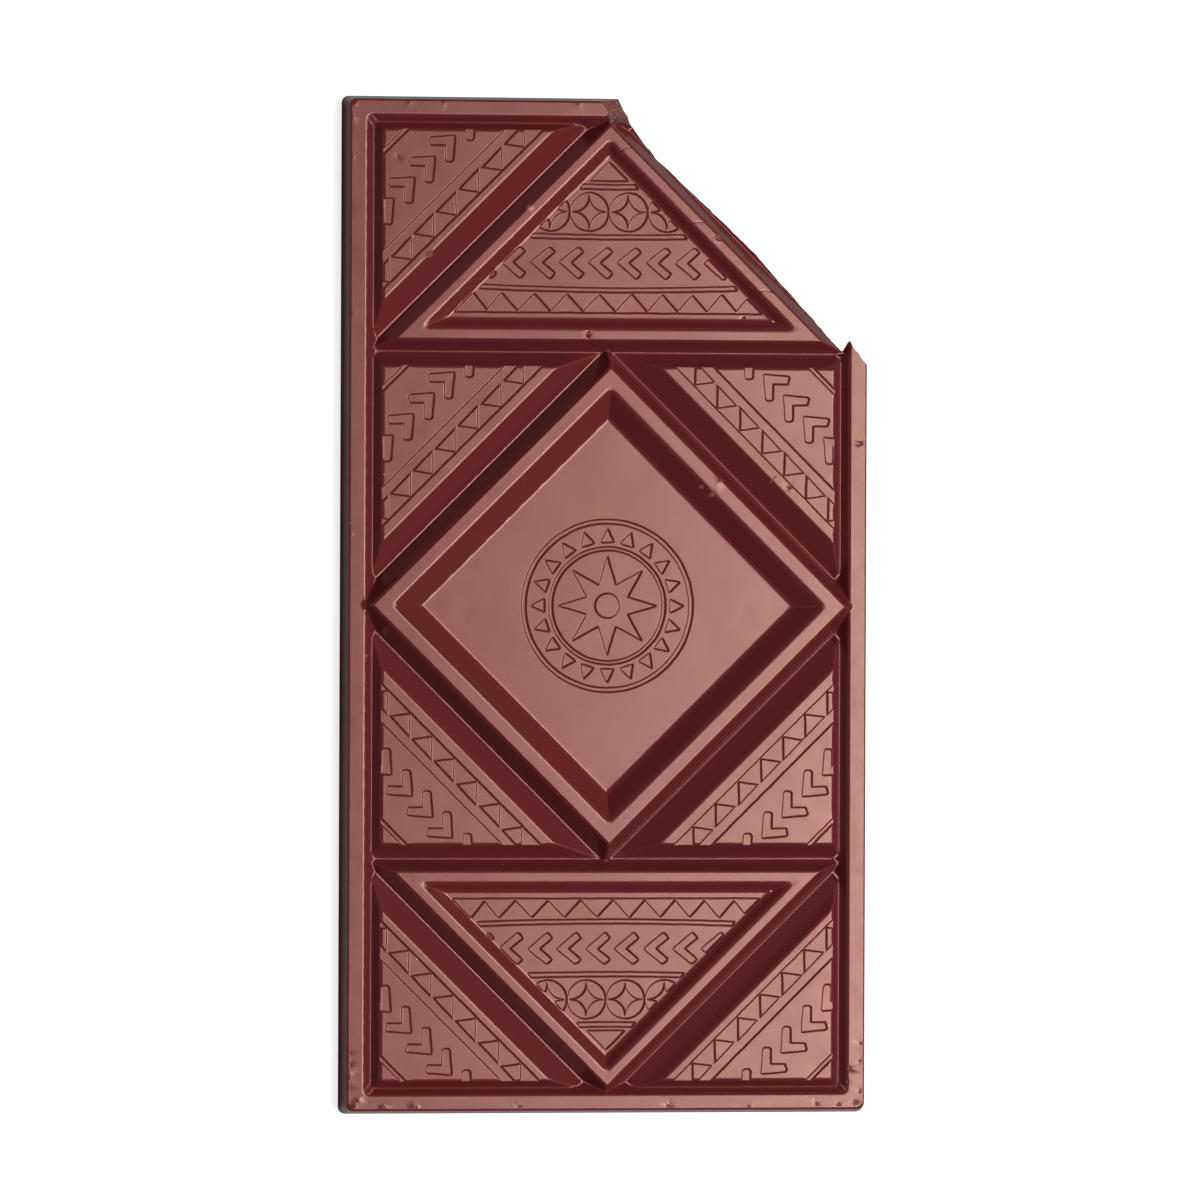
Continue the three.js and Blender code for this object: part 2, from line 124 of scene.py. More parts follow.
def creases():
    """The solid's creases on the moulded face, as rows (x0, y0, x1, y1), and the ease of each."""
    corners = solid_points[solid_faces]
    facing = np.cross(corners[:, 1] - corners[:, 0], corners[:, 2] - corners[:, 0])
    size = np.linalg.norm(facing, axis=1)
    facing /= np.maximum(size, 1e-9)[:, None]
    sides = {}
    for i, face in enumerate(solid_faces):
        for a, b in ((face[0], face[1]), (face[1], face[2]), (face[2], face[0])):
            sides.setdefault((min(a, b), max(a, b)), []).append(i)
    found = {}
    for (a, b), pair in sides.items():
        if len(pair) != 2 or min(size[pair]) < 1e-6:
            continue
        m, n = facing[pair[0]], facing[pair[1]]
        flatter = max(m[2], n[2])
        if m @ n > math.cos(math.radians(LEAST_FOLD)) or flatter < FACING_UP:
            continue
        p, q = solid_points[a], solid_points[b]
        if max(abs(p[0]), abs(q[0])) > FACE_HALF_X - 0.3 or max(abs(p[1]), abs(q[1])) > FACE_HALF_Y - 0.3:
            continue
        if min(m[2], n[2]) < UPRIGHT:
            ease = DRAWN_EASE
        else:
            middle = corners[pair].mean(axis=1)
            hollow = (middle[1] - middle[0]) @ m > 0
            ease = GROOVE_EASE if hollow and flatter < LEVEL else FOLD_EASE
            slope = m if m[2] < n[2] else n
            frame_y = TRIANGLE_MIDDLE * np.sign(p[1]) if p[2] < DIAMOND_ABOVE else 0
            inwards = slope[0] * -p[0] + slope[1] * (frame_y - p[1]) > 0
            if flatter > LEVEL and (hollow or (inwards and min(p[2], q[2]) > FRAME_ABOVE)):
                ease = FRAME_EASE
        ends = sorted((tuple(p[:2].round(2)), tuple(q[:2].round(2))))
        if ends[0] != ends[1]:
            found[tuple(ends)] = ease
    lines = np.array([[*p, *q] for p, q in found])
    return lines, np.array(list(found.values()))


def cut_up(lines, ease):
    """Cuts every line into pieces, shorter ones for drawn lines and beside the break."""
    pieces, eases = [], []
    for (x0, y0, x1, y1), each in zip(lines, ease):
        pitch = DRAWN_PITCH if each == DRAWN_EASE else STRAIGHT_PITCH
        if max(x0 - y0, x1 - y1, x0 + y0, x1 + y1) > CORNER_KEPT - 1:
            pitch = BROKEN_PITCH
        count = max(1, math.ceil(math.hypot(x1 - x0, y1 - y0) / pitch))
        x, y = np.linspace(x0, x1, count + 1), np.linspace(y0, y1, count + 1)
        pieces.append(np.column_stack([x[:-1], y[:-1], x[1:], y[1:]]))
        eases.append(np.full(count, each))
    return np.concatenate(pieces), np.concatenate(eases)


fold_pieces, fold_ease = cut_up(*creases())
middle_x = (fold_pieces[:, 0] + fold_pieces[:, 2]) / 2
middle_y = (fold_pieces[:, 1] + fold_pieces[:, 3]) / 2
kept = middle_x + middle_y < CORNER_KEPT
mirrored = middle_x - middle_y > CORNER_KEPT
fold_pieces = np.concatenate([fold_pieces[kept], fold_pieces[mirrored] * [1, -1, 1, -1]])
fold_ease = np.concatenate([fold_ease[kept], fold_ease[mirrored]])

# The ease at each point is that of a main crease close by.
main = fold_pieces[fold_ease != DRAWN_EASE]
main_ease = fold_ease[fold_ease != DRAWN_EASE]
main_tree = KDTree(len(main) * 4)
for i, (x0, y0, x1, y1) in enumerate(main):
    for k in range(4):
        share = (k + 0.5) / 4
        main_tree.insert((x0 + share * (x1 - x0), y0 + share * (y1 - y0), 0), i)
main_tree.balance()

drawn = fold_pieces[fold_ease == DRAWN_EASE]
drawn_tree = KDTree(len(drawn))
for i, (x0, y0, x1, y1) in enumerate(drawn):
    drawn_tree.insert(((x0 + x1) / 2, (y0 + y1) / 2, 0), i)
drawn_tree.balance()


def with_figures(x, y, z, slopes):
    """The eased height and slopes with the drawn figures sunk in, each with a soft round edge."""
    near = [i for _, i, away in drawn_tree.find_n((x, y, 0), 6) if away < DRAWN_EASE + DRAWN_PITCH / 2]
    top, share, fall = None, 0.0, np.zeros(2)
    if near:
        p, q = drawn[near, :2], drawn[near, 2:]
        along = np.clip(np.einsum("ij,ij->i", [x, y] - p, q - p) / ((q - p) ** 2).sum(axis=1), 0, 1)
        off = [x, y] - p - along[:, None] * (q - p)
        away = np.hypot(*off.T)
        k = away.argmin()
    if near and away[k] < DRAWN_EASE:
        if away[k] > 0.001:
            unit = off[k] / away[k]
        else:
            unit = np.array([q[k, 1] - p[k, 1], p[k, 0] - q[k, 0]]) / np.hypot(*(q[k] - p[k]))
        foot = [x, y] - off[k]
        for inward in (unit, -unit):
            level, sunk = relief_hit(*(foot + 0.04 * inward))
            if sunk:
                top = level
                # From -1 outside the figure to 1 inside: steep at its line, level at both ends.
                u = (inward @ unit) * away[k] / DRAWN_EASE
                share = 0.5 + math.copysign(0.5 - 0.5 * (1 - abs(u)) ** 3, u)
                fall = 1.5 * (1 - abs(u)) ** 2 / DRAWN_EASE * inward
                break
    else:
        level, sunk = relief_hit(x, y)
        if sunk:
            top, share = level, 1.0
    if top is None or z < top - DRAWN_DEPTH:
        return z, slopes
    depth = z - top + DRAWN_DEPTH
    if depth > DRAWN_DEPTH:
        return z - DRAWN_DEPTH * share, slopes - DRAWN_DEPTH * fall
    return z - depth * share, slopes * (1 - share) - depth * fall


def moulded_height(x, y):
    """Height and slopes of the casting's face: eased creases, narrow groove floors, sunk figures."""
    _, near, away = main_tree.find((x, y, 0))
    ease = main_ease[near] if away < main_ease[near] + 0.03 else FLAT_EASE
    z, slopes = eased(x, y, ease)
    if ease == GROOVE_EASE:
        x0, y0, x1, y1 = main[near]
        share = ((x - x0) * (x1 - x0) + (y - y0) * (y1 - y0)) / ((x1 - x0) ** 2 + (y1 - y0) ** 2)
        share = min(max(share, 0), 1)
        off = np.array([x - x0 - share * (x1 - x0), y - y0 - share * (y1 - y0)])
        bottom = relief_height(x - off[0], y - off[1])
        rise = FLOOR_RISE * min(max((FLOOR_END - bottom) / FLOOR_FADE, 0), 1)
        floor = bottom + rise + FLOOR_BOW * (off @ off)
        if floor > z:
            z, slopes = floor, 2 * FLOOR_BOW * off
    return with_figures(x, y, z, slopes)


# ---- the broken corner ----
# One corner tile was snapped off along its diagonal groove. The break is a dull grainy face
# that leans outwards at the end rim, follows the groove, and tears back under the side rim.
GROOVE_REACH = 68.37          # |x| + |y| along the bottom of the broken groove
BREAK_CREST = 5.4             # heights of the break's three measured lines: crest, middle and foot
BREAK_MIDDLE = 3.5
BREAK_STATIONS = np.array([   # place along the break, then how far each line stands outside the groove
    [-54.0, 0.1, 1.4, 3.0],
    [-49.8, -0.1, 1.0, 2.7],
    [-48.1, -0.6, 0.7, 2.4],
    [-46.9, -1.6, -0.2, 2.0],
    [-46.2, -1.0, 0.0, 1.8],
    [-45.4, -0.4, 0.4, 1.6],
    [-44.2, 0.4, 0.65, 1.1],
    [-42.0, 0.25, 0.25, 0.6],
    [-38.5, -0.05, -0.05, 0.3],
    [-33.0, 0.15, 0.15, 0.4],
    [-26.0, 0.42, 0.42, 0.7],
    [-19.5, 0.53, 0.53, 0.8],
    [-15.5, 0.28, 0.28, 0.6],
    [-9.0, 0.02, 0.02, 0.3],
    [-5.0, -0.25, -0.25, 0.1],
    [-2.8, -0.35, -0.35, 0.0],
    [-2.5, 1.35, -0.4, 0.0],
    [-2.05, 1.25, -0.4, 0.0],
    [-1.6, 1.0, -0.35, 0.0],
    [-1.3, 0.9, -0.3, 0.0],
    [0.1, 0.8, -0.2, 0.05],
    [1.4, 0.7, -0.1, 0.1],
    [5.0, 0.6, 0.0, 0.2],
])
BREAK_START = -49.4           # about where the crest begins and ends along the groove
BREAK_STOP = 1.3
TEAR = -2.6                   # where it jumps outwards, at the side rim's torn tongue
BREAK_COLUMNS = 250
TEAR_COLUMNS = 12             # more of them beside the tear
GRAIN = [(3.1, 0.10), (1.1, 0.09), (0.45, 0.045)]   # wavelength and depth of the broken face's lumps
HALF_LENGTH = 70.0
HALF_WIDTH = 36.55
WALL_LEAN = 0.62              # how far the drafted wall leans in between its foot and its shoulder
SHOULDER = 5.15               # height at which the rim's edge begins to round over
EDGE_ROUND = 0.35             # radii of that edge, of the foot and of the bar's corners
FOOT_ROUND = 0.22
WALL_CORNER = 1.0
ROUND_ROWS = 5                # rows of points over each of those two rounded edges
WALL_ROWS = 18                # and down the wall between them
HOOK = 0.75                   # how far the torn spike's tip leans over its notch


def to_corner(along, out):
    """From a place along and outside the broken groove to x and y."""
    x = (along + out) / math.sqrt(2) + GROOVE_REACH / 2
    y = (out - along) / math.sqrt(2) + GROOVE_REACH / 2
    return x, y


def from_corner(x, y):
    return (x - y) / math.sqrt(2), (x + y - GROOVE_REACH) / math.sqrt(2)


def hooked(points):
    """Points with the torn spike at the side rim hooked over, so that its notch lies under its tip."""
    along, out = from_corner(points[..., 0], points[..., 1])
    shift = HOOK * np.interp(along, [-3.7, -2.9, -2.2, -1.0], [0, 1, 1, 0])
    shift = shift * np.interp(out, [-1.0, -0.35, 1.3], [0, 1, 0])
    points = points.copy()
    points[..., 0], points[..., 1] = to_corner(along + shift, out)
    return points


def break_offset(along, z):
    """How far the broken face stands outside the groove's line at a place and height."""
    places = BREAK_STATIONS[:, 0]
    crest, centre, foot = (np.interp(along, places, BREAK_STATIONS[:, k]) for k in (1, 2, 3))
    if z > BREAK_MIDDLE:
        rise = min((z - BREAK_MIDDLE) / (BREAK_CREST - BREAK_MIDDLE), 1)
        out = centre + rise * (crest - centre)
    else:
        out = foot + max(z, 0) / BREAK_MIDDLE * (centre - foot)
    for i, (size, depth) in enumerate(GRAIN):
        out += depth * noise.noise(Vector((along / size, z / size, 7.3 * i)))
    return out


def wall_rows():
    """Height and inset of the outer wall's rows, from the rim's flat top down to the back."""
    rows = []
    for i in range(ROUND_ROWS):
        turned = i / (ROUND_ROWS - 1) * math.radians(83)
        height = SHOULDER + EDGE_ROUND * math.cos(turned)
        rows.append((height, WALL_LEAN + EDGE_ROUND * (1 - math.sin(turned))))
    rows[0] = (RIM_TOP, WALL_LEAN + EDGE_ROUND)
    for z in np.linspace(SHOULDER - 0.2, FOOT_ROUND + 0.25, WALL_ROWS):
        rows.append((z, WALL_LEAN * z / SHOULDER))
    for i in range(ROUND_ROWS):
        turned = i / (ROUND_ROWS - 1) * math.pi / 2
        rows.append((FOOT_ROUND * (1 - math.sin(turned)), FOOT_ROUND * (1 - math.cos(turned))))
    return rows


def meet(place, target, z):
    """Where along the break its face reaches the wall: the end rim's at y or the side rim's at x."""
    along = target
    for _ in range(60):
        out = break_offset(along, z)
        wanted = place * math.sqrt(2) - GROOVE_REACH / math.sqrt(2)
        step = (wanted - out if target == BREAK_STOP else out - wanted) - along
        along += 0.5 * step
    return along


rows = wall_rows()
even = np.linspace(0, 1, BREAK_COLUMNS)
tear = (TEAR - BREAK_START) / (BREAK_STOP - BREAK_START)
break_share = np.sort(np.concatenate([even, tear + np.linspace(-0.006, 0.006, TEAR_COLUMNS)]))

start = meet(HALF_LENGTH - rows[0][1], BREAK_START, RIM_TOP)
stop = meet(HALF_WIDTH - rows[0][1], BREAK_STOP, RIM_TOP)
crest_along = start + break_share * (stop - start)
crest_out, crest_z = [], []
for along in crest_along:
    low, high = -3.0, 3.0
    for _ in range(22):
        out = (low + high) / 2
        z = moulded_height(*to_corner(along, out))[0]
        if out < break_offset(along, z):
            low = out
        else:
            high = out
    crest_out.append(out)
    crest_z.append(z)
crest_out, crest_z = np.array(crest_out), np.array(crest_z)
crest_z[[0, -1]] = RIM_TOP


def unbroken(x, y, margin):
    """Which points are on the face that is left, at least a margin inside its edge."""
    along, out = from_corner(x, y)
    beside = [np.interp(along + d, crest_along, crest_out) for d in (-margin, 0, margin)]
    edge = np.minimum.reduce(beside)
    past_x = np.maximum(np.abs(x) - FACE_HALF_X + WALL_CORNER, 0)
    past_y = np.maximum(np.abs(y) - FACE_HALF_Y + WALL_CORNER, 0)
    inside = np.hypot(past_x, past_y) < WALL_CORNER - margin
    return inside & (out < edge - margin)


# ---- the outer wall and the break, as rows of points from the face down to the back ----
# The mould's drafted wall with a small rounded shoulder and an eased foot runs round three
# and a half sides. The break closes the rest, and its rows lean and roughen on the way down.
WALL_PITCH = 0.9
CORNER_STEPS = 7
RUNS = (102, 70, 137, 35)     # about how long the straight sides are, for their numbers of points


def wall_ring(level, inset, near, far):
    """The wall's points at one level, from the side rim's end of the break round to the end rim's."""
    x, y = HALF_WIDTH - inset, HALF_LENGTH - inset
    path = [(x, near)]

    def run(x1, y1, length):
        x0, y0 = path[-1]
        count = round(length / WALL_PITCH)
        for i in range(1, count + 1):
            path.append((x0 + (x1 - x0) * i / count, y0 + (y1 - y0) * i / count))

    def bend(cx, cy, first):
        for i in range(1, CORNER_STEPS + 1):
            angle = math.radians(first - 90 * i / CORNER_STEPS)
            path.append((cx + WALL_CORNER * math.cos(angle), cy + WALL_CORNER * math.sin(angle)))

    run(x, -y + WALL_CORNER, RUNS[0])
    bend(x - WALL_CORNER, -y + WALL_CORNER, 0)
    run(-x + WALL_CORNER, -y, RUNS[1])
    bend(-x + WALL_CORNER, -y + WALL_CORNER, -90)
    run(-x, y - WALL_CORNER, RUNS[2])
    bend(-x + WALL_CORNER, y - WALL_CORNER, 180)
    run(far, y, RUNS[3])
    return [(px, py, level) for px, py in path]


rings = []
for level, inset in rows:
    if level == RIM_TOP:
        near, far = stop, start
        along, out, height = crest_along, crest_out, crest_z
    else:
        near = meet(HALF_WIDTH - inset, BREAK_STOP, level)
        far = meet(HALF_LENGTH - inset, BREAK_START, level)
        along = far + break_share * (near - far)
        height = crest_z * level / RIM_TOP
        out = [break_offset(a, z) for a, z in zip(along, height)]
    broken = [(*to_corner(a, o), z) for a, o, z in zip(along, out, height)]
    broken[0] = (broken[0][0], HALF_LENGTH - inset, level)
    broken[-1] = (HALF_WIDTH - inset, broken[-1][1], level)
    wall = wall_ring(level, inset, broken[-1][1], broken[0][0])
    rings.append(wall[1:-1] + broken)
crest_loop = np.array(rings[0])[:, :2]
rings = hooked(np.array(rings))
broken_from = rings.shape[1] - len(break_share)   # columns from here on belong to the break

# ---- small faults of the casting ----
# Scabs where the chocolate stuck to the mould, bubbles and pits, nicks on proud edges, and
# hairline cracks that the snap sent across the triangle's frame.
# Each: x, y, radius, height and how crumbly it looks.
FAULTS = [
    (-24.81, 47.99, 0.34, 0.05, 0.9),
    (-11.39, 54.78, 0.32, 0.05, 0.8),
    (-3.01, 37.24, 0.33, -0.10, 0.3),
    (18.76, 39.74, 0.16, -0.10, 0.2),
    (-29.37, 61.45, 0.20, -0.02, 0.7),
    (15.1, 50.8, 0.36, -0.12, 0.9),
    (12.70, 16.37, 0.30, -0.10, 0.9),
    (14.09, 15.28, 0.34, -0.12, 0.9),
    (15.47, 17.35, 0.22, 0.06, 0.8),
    (22.62, 17.14, 0.24, -0.06, 0.7),
    (25.13, 16.46, 0.26, -0.07, 0.7),
    (-35.2, 68.5, 0.10, 0.03, 0.9),
    (-35.3, 69.0, 0.16, -0.06, 0.6),
    (-35.45, 66.9, 0.10, 0.015, 1.0),
    (-35.45, 61.3, 0.12, 0.03, 0.9),
    (-35.4, 39.9, 0.09, 0.03, 1.0),
    (-35.42, 9.8, 0.11, 0.03, 0.9),
    (-35.4, -61.3, 0.16, -0.04, 0.9),
    (-35.42, -62.9, 0.20, -0.05, 1.0),
    (-35.4, -64.6, 0.15, 0.03, 0.9),
    (-35.41, -66.1, 0.18, -0.04, 1.0),
    (-22.9, 68.9, 0.12, 0.015, 0.9),
    (-4.3, 68.87, 0.12, 0.03, 0.9),
    (35.35, -60.2, 0.16, -0.04, 0.9),
    (35.3, -62.7, 0.2, -0.05, 0.9),
    (35.35, -66.9, 0.18, -0.05, 0.9),
    (35.4, 22.4, 0.12, 0.03, 0.9),
    (-12.1, -68.85, 0.2, -0.05, 0.9),
    (8.6, -68.86, 0.22, -0.05, 0.9),
    (19.9, -68.85, 0.15, 0.04, 0.9),
    (-27.79, 68.80, 0.12, 0.02, 1.0),
    (-34.28, -67.93, 0.15, 0.05, 1.0),
    (-34.65, -68.45, 0.14, 0.05, 1.0),
    (31.17, -66.73, 0.15, 0.05, 0.9),
    (29.22, -68.59, 0.2, -0.05, 0.8),
    (32.31, -68.61, 0.2, -0.05, 0.8),
    (33.67, -63.75, 0.25, -0.08, 0.7),
    (33.41, -65.56, 0.22, -0.08, 0.7),
    (34.55, -68.5, 0.35, -0.05, 0.4),
    (-30.78, -68.85, 0.3, 0.06, 1.0),
    (-26.36, -68.85, 0.3, 0.05, 0.9),
]
CRACKS = [(1.46, 62.58, 2.99, 63.01), (11.78, 52.74, 13.03, 52.80), (20.57, 43.38, 22.38, 43.45)]
CRACK_DEPTH = 0.07
CRACK_EASE = 0.06             # half a crack's width
FAULT_REACH = 2.4             # how many radii from its middle a fault ends
fault_x, fault_y, fault_radius = np.array(FAULTS)[:, :3].T


def fault_height(x, y):
    """What the faults add to the face's height, and how crumbly the chocolate is there."""
    height, crumbly = 0.0, 0.0
    near = np.hypot(fault_x - x, fault_y - y) < FAULT_REACH * fault_radius
    for fx, fy, radius, rise, crumb in (FAULTS[i] for i in np.flatnonzero(near)):
        reach = math.hypot(x - fx, y - fy) / radius
        ragged = noise.noise(Vector((x * 3.5, y * 3.5, 5.0)))
        share = math.exp(-(reach * (1 + 0.5 * ragged)) ** 2)
        height += rise * share * (1 + 1.1 * noise.noise(Vector((x * 7, y * 7, 9.0))))
        crumbly = max(crumbly, crumb * min(1.0, 1.6 * share))
    for x0, y0, x1, y1 in CRACKS:
        length = math.hypot(x1 - x0, y1 - y0)
        share = min(max(((x - x0) * (x1 - x0) + (y - y0) * (y1 - y0)) / length ** 2, 0), 1)
        away = math.hypot(x - x0 - share * (x1 - x0), y - y0 - share * (y1 - y0))
        if away < CRACK_EASE:
            height -= CRACK_DEPTH * (1 - away / CRACK_EASE)
    return height, crumbly


# ---- the face's mesh ----
# Rows of points run along every crease and beside it, with an open net between them, so that
# the eased creases are crisp and the flats stay flat.
OPEN_PITCH = 1.25             # spacing of the net
NET_HALF_X = 34.8
NET_HALF_Y = 68.3
FAULT_POINTS = 60             # more points round each fault
FAULT_SPREAD = 1.9            # and how many of its radii they reach from its middle
FACE_WELD = 0.004             # points closer than this become one
CRISP_MARGIN = 0.1            # how far from the face's edge the creases' rows end
NET_MARGIN = 0.35             # how far from it the net ends
LEAST_MARGIN = 0.06           # and how far from it every point stays

points, links = [], []
for ease in (FOLD_EASE, GROOVE_EASE, FRAME_EASE, DRAWN_EASE):
    pieces = fold_pieces[fold_ease == ease]
    run_x, run_y = pieces[:, 2] - pieces[:, 0], pieces[:, 3] - pieces[:, 1]
    length = np.hypot(run_x, run_y)
    side = np.column_stack([-run_y, run_x]) / length[:, None] * ease
    for share in (-1, -0.5, 0, 0.5, 1):
        p, q = pieces[:, :2] + share * side, pieces[:, 2:] + share * side
        whole = unbroken(*p.T, CRISP_MARGIN) & unbroken(*q.T, CRISP_MARGIN)
        for a, b in zip(p[whole], q[whole]):
            links.append((len(points), len(points) + 1))
            points += [a, b]
for x0, y0, x1, y1 in CRACKS:
    side = np.array([y0 - y1, x1 - x0]) / math.hypot(x1 - x0, y1 - y0) * CRACK_EASE
    for share in (-1, 0, 1):
        links.append((len(points), len(points) + 1))
        points += [np.array([x0, y0]) + share * side, np.array([x1, y1]) + share * side]
for fx, fy, radius, _, _ in FAULTS:
    for i in range(FAULT_POINTS):
        reach = radius * FAULT_SPREAD * math.sqrt((i + 0.5) / FAULT_POINTS)
        points.append(np.array([fx + reach * math.cos(i * turn), fy + reach * math.sin(i * turn)]))
columns = np.arange(-NET_HALF_X, NET_HALF_X, OPEN_PITCH)
lines = np.arange(-NET_HALF_Y, NET_HALF_Y, OPEN_PITCH)
net_x, net_y = np.meshgrid(columns, lines)
net_x[::2] += OPEN_PITCH / 2
net = np.column_stack([net_x.ravel(), net_y.ravel()])
points += list(net[unbroken(*net.T, NET_MARGIN)])
points = np.array(points)
inside = unbroken(*points.T, LEAST_MARGIN)
moved = np.cumsum(inside) - 1
links = [(moved[a], moved[b]) for a, b in links if inside[a] and inside[b]]
points = points[inside]

loop_from = len(points)
loop_count = rings.shape[1]
loop = [(loop_from + i, loop_from + (i + 1) % loop_count) for i in range(loop_count)]
every = [Vector(p) for p in points] + [Vector(p) for p in crest_loop]
net_points, _, net_faces, origin, _, _ = delaunay_2d_cdt(every, links + loop, [], 0, FACE_WELD)
face_xy = np.array([p[:] for p in net_points])
net_faces = np.array(net_faces)
along, out = from_corner(*face_xy[net_faces].mean(axis=1).T)
net_faces = net_faces[out < np.interp(along, crest_along, crest_out)]
loop_index = np.full(loop_count, -1)
for i, sources in enumerate(origin):
    for source in sources:
        if source >= loop_from:
            loop_index[source - loop_from] = i

WAVE = 0.012                  # the flats are never dead level
HAND = 0.05                   # how far the hand-cut pattern wanders
STEP = 0.03                   # over which the slopes of waves and faults are felt


def uneven(x, y):
    """Height that the casting's slight waves and its faults add."""
    wave = WAVE * noise.noise(Vector((x / 9, y / 9, 1.0)))
    wave += WAVE / 4 * noise.noise(Vector((x / 3, y / 3, 2.0)))
    return wave + fault_height(x, y)[0]


on_loop = np.zeros(len(face_xy), bool)
on_loop[loop_index] = True
face_points = np.empty((len(face_xy), 3))
face_facing = np.ones((len(face_xy), 3))
face_crumb = np.zeros(len(face_xy))
for i, (x, y) in enumerate(face_xy):
    z, slopes = moulded_height(x, y)
    if not on_loop[i]:
        added = uneven(x, y)
        slopes = slopes + (np.array([uneven(x + STEP, y), uneven(x, y + STEP)]) - added) / STEP
        face_crumb[i] = fault_height(x, y)[1]
        z += added
        # The pattern wanders, but the main creases stay where they are.
        fold_away = main_tree.find((x, y, 0))[2]
        free = min(max((fold_away - 0.3) / 0.7, 0), 1)
        x += free * HAND * noise.noise(Vector((x / 1.7, y / 1.7, 3.0)))
        y += free * HAND * noise.noise(Vector((x / 1.7, y / 1.7, 4.0)))
    face_points[i] = x, y, z
    face_facing[i, :2] = -slopes
face_points = hooked(face_points)
face_points[loop_index] = rings[0]
face_facing /= np.linalg.norm(face_facing, axis=1)[:, None]

# ---- the poured back ----
# The open side of the mould, scraped level while the chocolate was soft and set dull, with
# shallow scraper waves. It carries the bar, so nothing on it hangs below the table's plane.
BACK_PITCH = 1.5
BACK_MARGIN = 0.8             # how far from the break its net ends
BACK_WELD = 0.0001
BACK_LIFT = 0.02              # how far the waves' troughs are above the bar's foot
BACK_WAVE = 0.06

back_loop = rings[-1]
edge_along, edge_out = from_corner(*back_loop[broken_from:, :2].T)
back_x, back_y = np.meshgrid(np.arange(-34.5, 35, BACK_PITCH), np.arange(-68, 68.5, BACK_PITCH))
back_net = np.column_stack([back_x.ravel(), back_y.ravel()])
along, out = from_corner(*back_net.T)
back_net = back_net[out < np.interp(along, edge_along, edge_out) - BACK_MARGIN]
count = len(back_loop)
every = [Vector(p[:2]) for p in back_loop] + [Vector(p) for p in back_net]
made, _, back_faces, back_origin, _, _ = delaunay_2d_cdt(
    every, [(i, (i + 1) % count) for i in range(count)], [], 0, BACK_WELD
)
back_xy = np.array([p[:] for p in made])
back_faces = np.array(back_faces)
along, out = from_corner(*back_xy[back_faces].mean(axis=1).T)
back_faces = back_faces[out < np.interp(along, edge_along, edge_out)]
back_index = np.full(count, -1)
for i, sources in enumerate(back_origin):
    for source in sources:
        if source < count:
            back_index[source] = i
back_points = np.column_stack([back_xy, np.zeros(len(back_xy))])
on_edge = np.zeros(len(back_xy), bool)
on_edge[back_index] = True
for i, (x, y) in enumerate(back_xy):
    if not on_edge[i]:
        wave = abs(noise.noise(Vector((x / 14, y / 30, 11.0))))
        back_points[i, 2] = BACK_LIFT + BACK_WAVE * wave

# ---- the whole casting as one closed skin ----
# One piece of chocolate, poured into the mould and knocked out whole. Its face, wall, break and
# back share their edge points, so the skin is closed.
MOULDED, BROKEN, POURED = 0, 1, 2   # the skin's materials
STRAYED = 9                   # degrees by which a felt slope may differ from its triangle's own
BROAD = 0.19                  # least height of a triangle that counts as broad

side_points = rings[1:-1].reshape(-1, 3)
points = np.concatenate([face_points, side_points, back_points])
side_from = len(face_points)
back_from = side_from + len(side_points)
ring_index = np.empty(rings.shape[:2], int)
ring_index[0] = loop_index
ring_index[1:-1] = side_from + np.arange(len(side_points)).reshape(len(rings) - 2, -1)
ring_index[-1] = back_from + back_index
faces, kinds = [net_faces], [np.full(len(net_faces), MOULDED)]
columns = np.arange(loop_count)
beside = np.roll(columns, -1)
is_break = np.where((columns >= broken_from) & (columns < loop_count - 1), BROKEN, MOULDED)
for upper, lower in zip(ring_index[:-1], ring_index[1:]):
    faces.append(np.column_stack([upper[columns], lower[beside], lower[columns]]))
    faces.append(np.column_stack([upper[columns], upper[beside], lower[beside]]))
    kinds += [is_break, is_break]
faces.append(back_from + back_faces[:, ::-1])
kinds.append(np.full(len(back_faces), POURED))
faces, kinds = np.concatenate(faces), np.concatenate(kinds)

skin = bpy.data.meshes.new("chocolate_bar")
skin.from_pydata((points * MM).tolist(), [], faces.tolist())
skin.polygons.foreach_set("material_index", kinds)
skin.polygons.foreach_set("use_smooth", np.ones(len(faces), bool))
corners = points[faces]
facing = np.cross(corners[:, 1] - corners[:, 0], corners[:, 2] - corners[:, 0])
loop_facing = np.empty((len(faces), 3, 3))
for group in (kinds != BROKEN, kinds == BROKEN):
    summed = np.zeros((len(points), 3))
    for k in range(3):
        np.add.at(summed, faces[group, k], facing[group])
    summed /= np.maximum(np.linalg.norm(summed, axis=1), 1e-12)[:, None]
    loop_facing[group] = summed[faces[group]]

# The moulded face keeps the feeler's slopes, but a broad flat triangle beside a crease stays flat.
own = facing[:len(net_faces)]
twice_area = np.linalg.norm(own, axis=1)
own = own / np.maximum(twice_area, 1e-12)[:, None]
moulded = corners[:len(net_faces)]
longest = np.linalg.norm(moulded - np.roll(moulded, 1, axis=1), axis=2).max(axis=1)
felt = face_facing[net_faces]
strayed = np.einsum("ijk,ik->ij", felt, own) < math.cos(math.radians(STRAYED))
strayed &= (twice_area / longest > BROAD)[:, None]
loop_facing[:len(net_faces)] = np.where(strayed[:, :, None], own[:, None, :], felt)
skin.normals_split_custom_set(loop_facing.reshape(-1, 3).tolist())
crumbly = skin.attributes.new("crumbly", "FLOAT", "POINT")
elsewhere = np.zeros(len(points) - len(face_crumb))
crumbly.data.foreach_set("value", np.concatenate([face_crumb, elsewhere]))
bar = bpy.data.objects.new("chocolate_bar", skin)
bpy.context.scene.collection.objects.link(bar)
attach(bar, "root")
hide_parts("bar")

